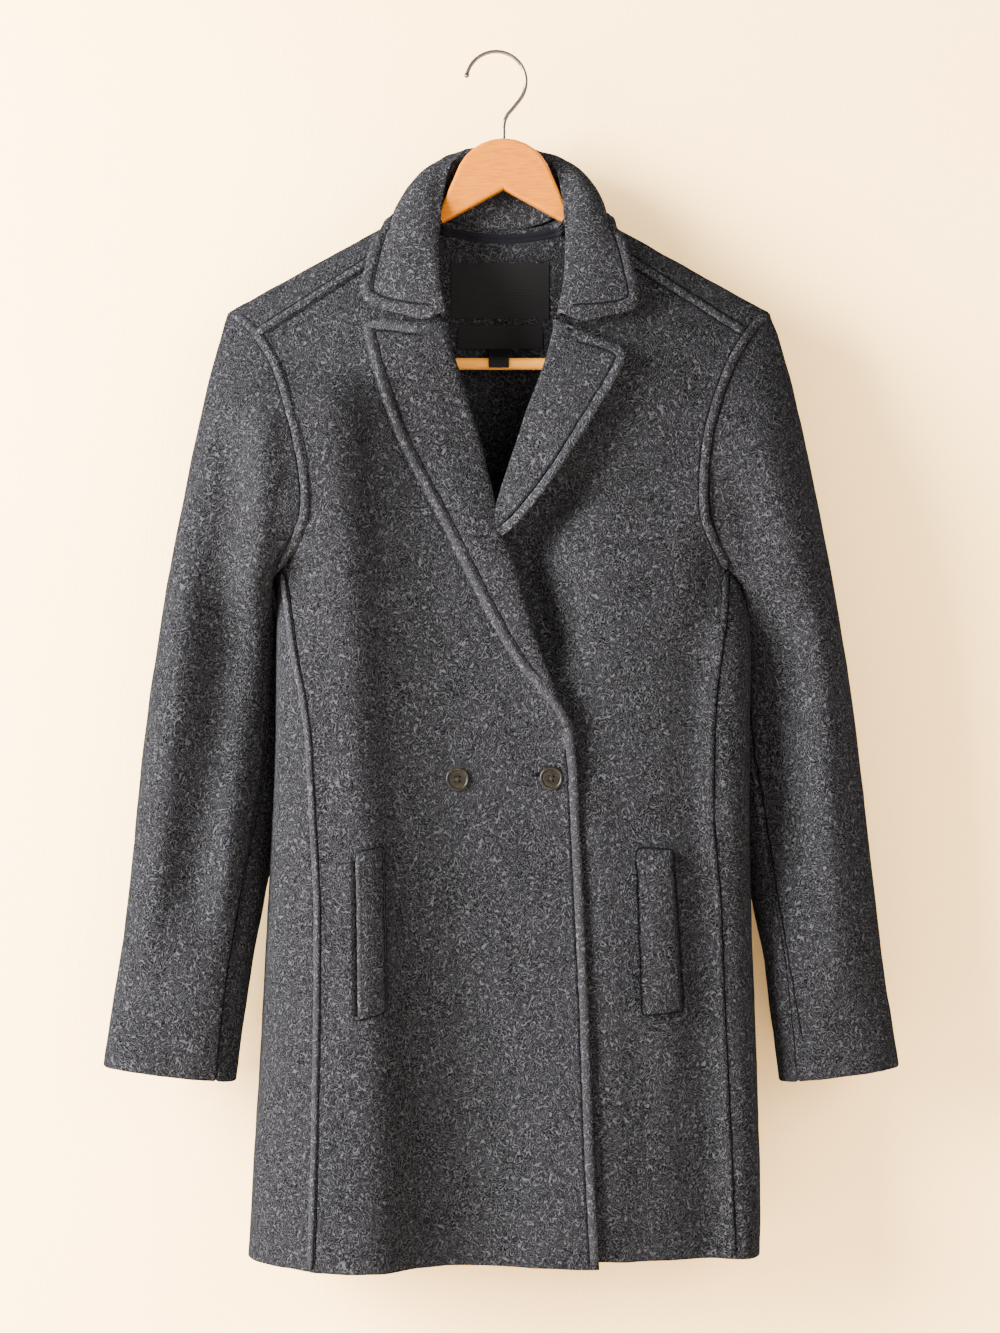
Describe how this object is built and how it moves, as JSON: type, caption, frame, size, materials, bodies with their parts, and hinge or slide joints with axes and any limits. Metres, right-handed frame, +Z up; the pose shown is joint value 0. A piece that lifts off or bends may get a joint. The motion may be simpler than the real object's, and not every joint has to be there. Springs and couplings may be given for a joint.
{
  "type": "double-breasted coat on a hanger",
  "caption": "Grey wool double-breasted coat with notched lapels, welt pockets and long sleeves, on a wooden hanger with a wire hook.",
  "frame": {"origin": "inner top of the hook, where it rests on a rail", "axes": "+X to the right of someone who looks at the front of the coat, +Y to the back of the coat, +Z up"},
  "size_m": [0.668, 0.142, 1.0147],
  "materials": {
    "boiled_wool": "felted wool with a short fuzzy nap, charcoal with lighter fibres",
    "dark_horn": "polished dark horn, mottled",
    "cotton_tape": "woven tape with two rows of stitches",
    "black_satin": "black woven satin, bare",
    "lacquered_beech": "clear satin lacquer over pale beech",
    "polished_steel": "bright polished wire"
  },
  "bodies": {
    "root": {"right_front": "boiled_wool", "left_front": "boiled_wool", "right_lapel": "boiled_wool", "left_lapel": "boiled_wool", "right_side": "boiled_wool", "left_side": "boiled_wool", "right_back": "boiled_wool", "left_back": "boiled_wool", "right_top_sleeve": "boiled_wool", "right_under_sleeve": "boiled_wool", "left_top_sleeve": "boiled_wool", "left_under_sleeve": "boiled_wool", "collar": "boiled_wool", "right_pocket_welt": "boiled_wool", "left_pocket_welt": "boiled_wool", "button_inner": "dark_horn", "button_outer": "dark_horn", "neck_tape": "cotton_tape", "main_label": "black_satin", "small_label": "black_satin", "size_tab": "black_satin", "hanger_body": "lacquered_beech", "hanger_bar": "lacquered_beech", "hanger_hook": "polished_steel"}
  },
  "joints": []
}
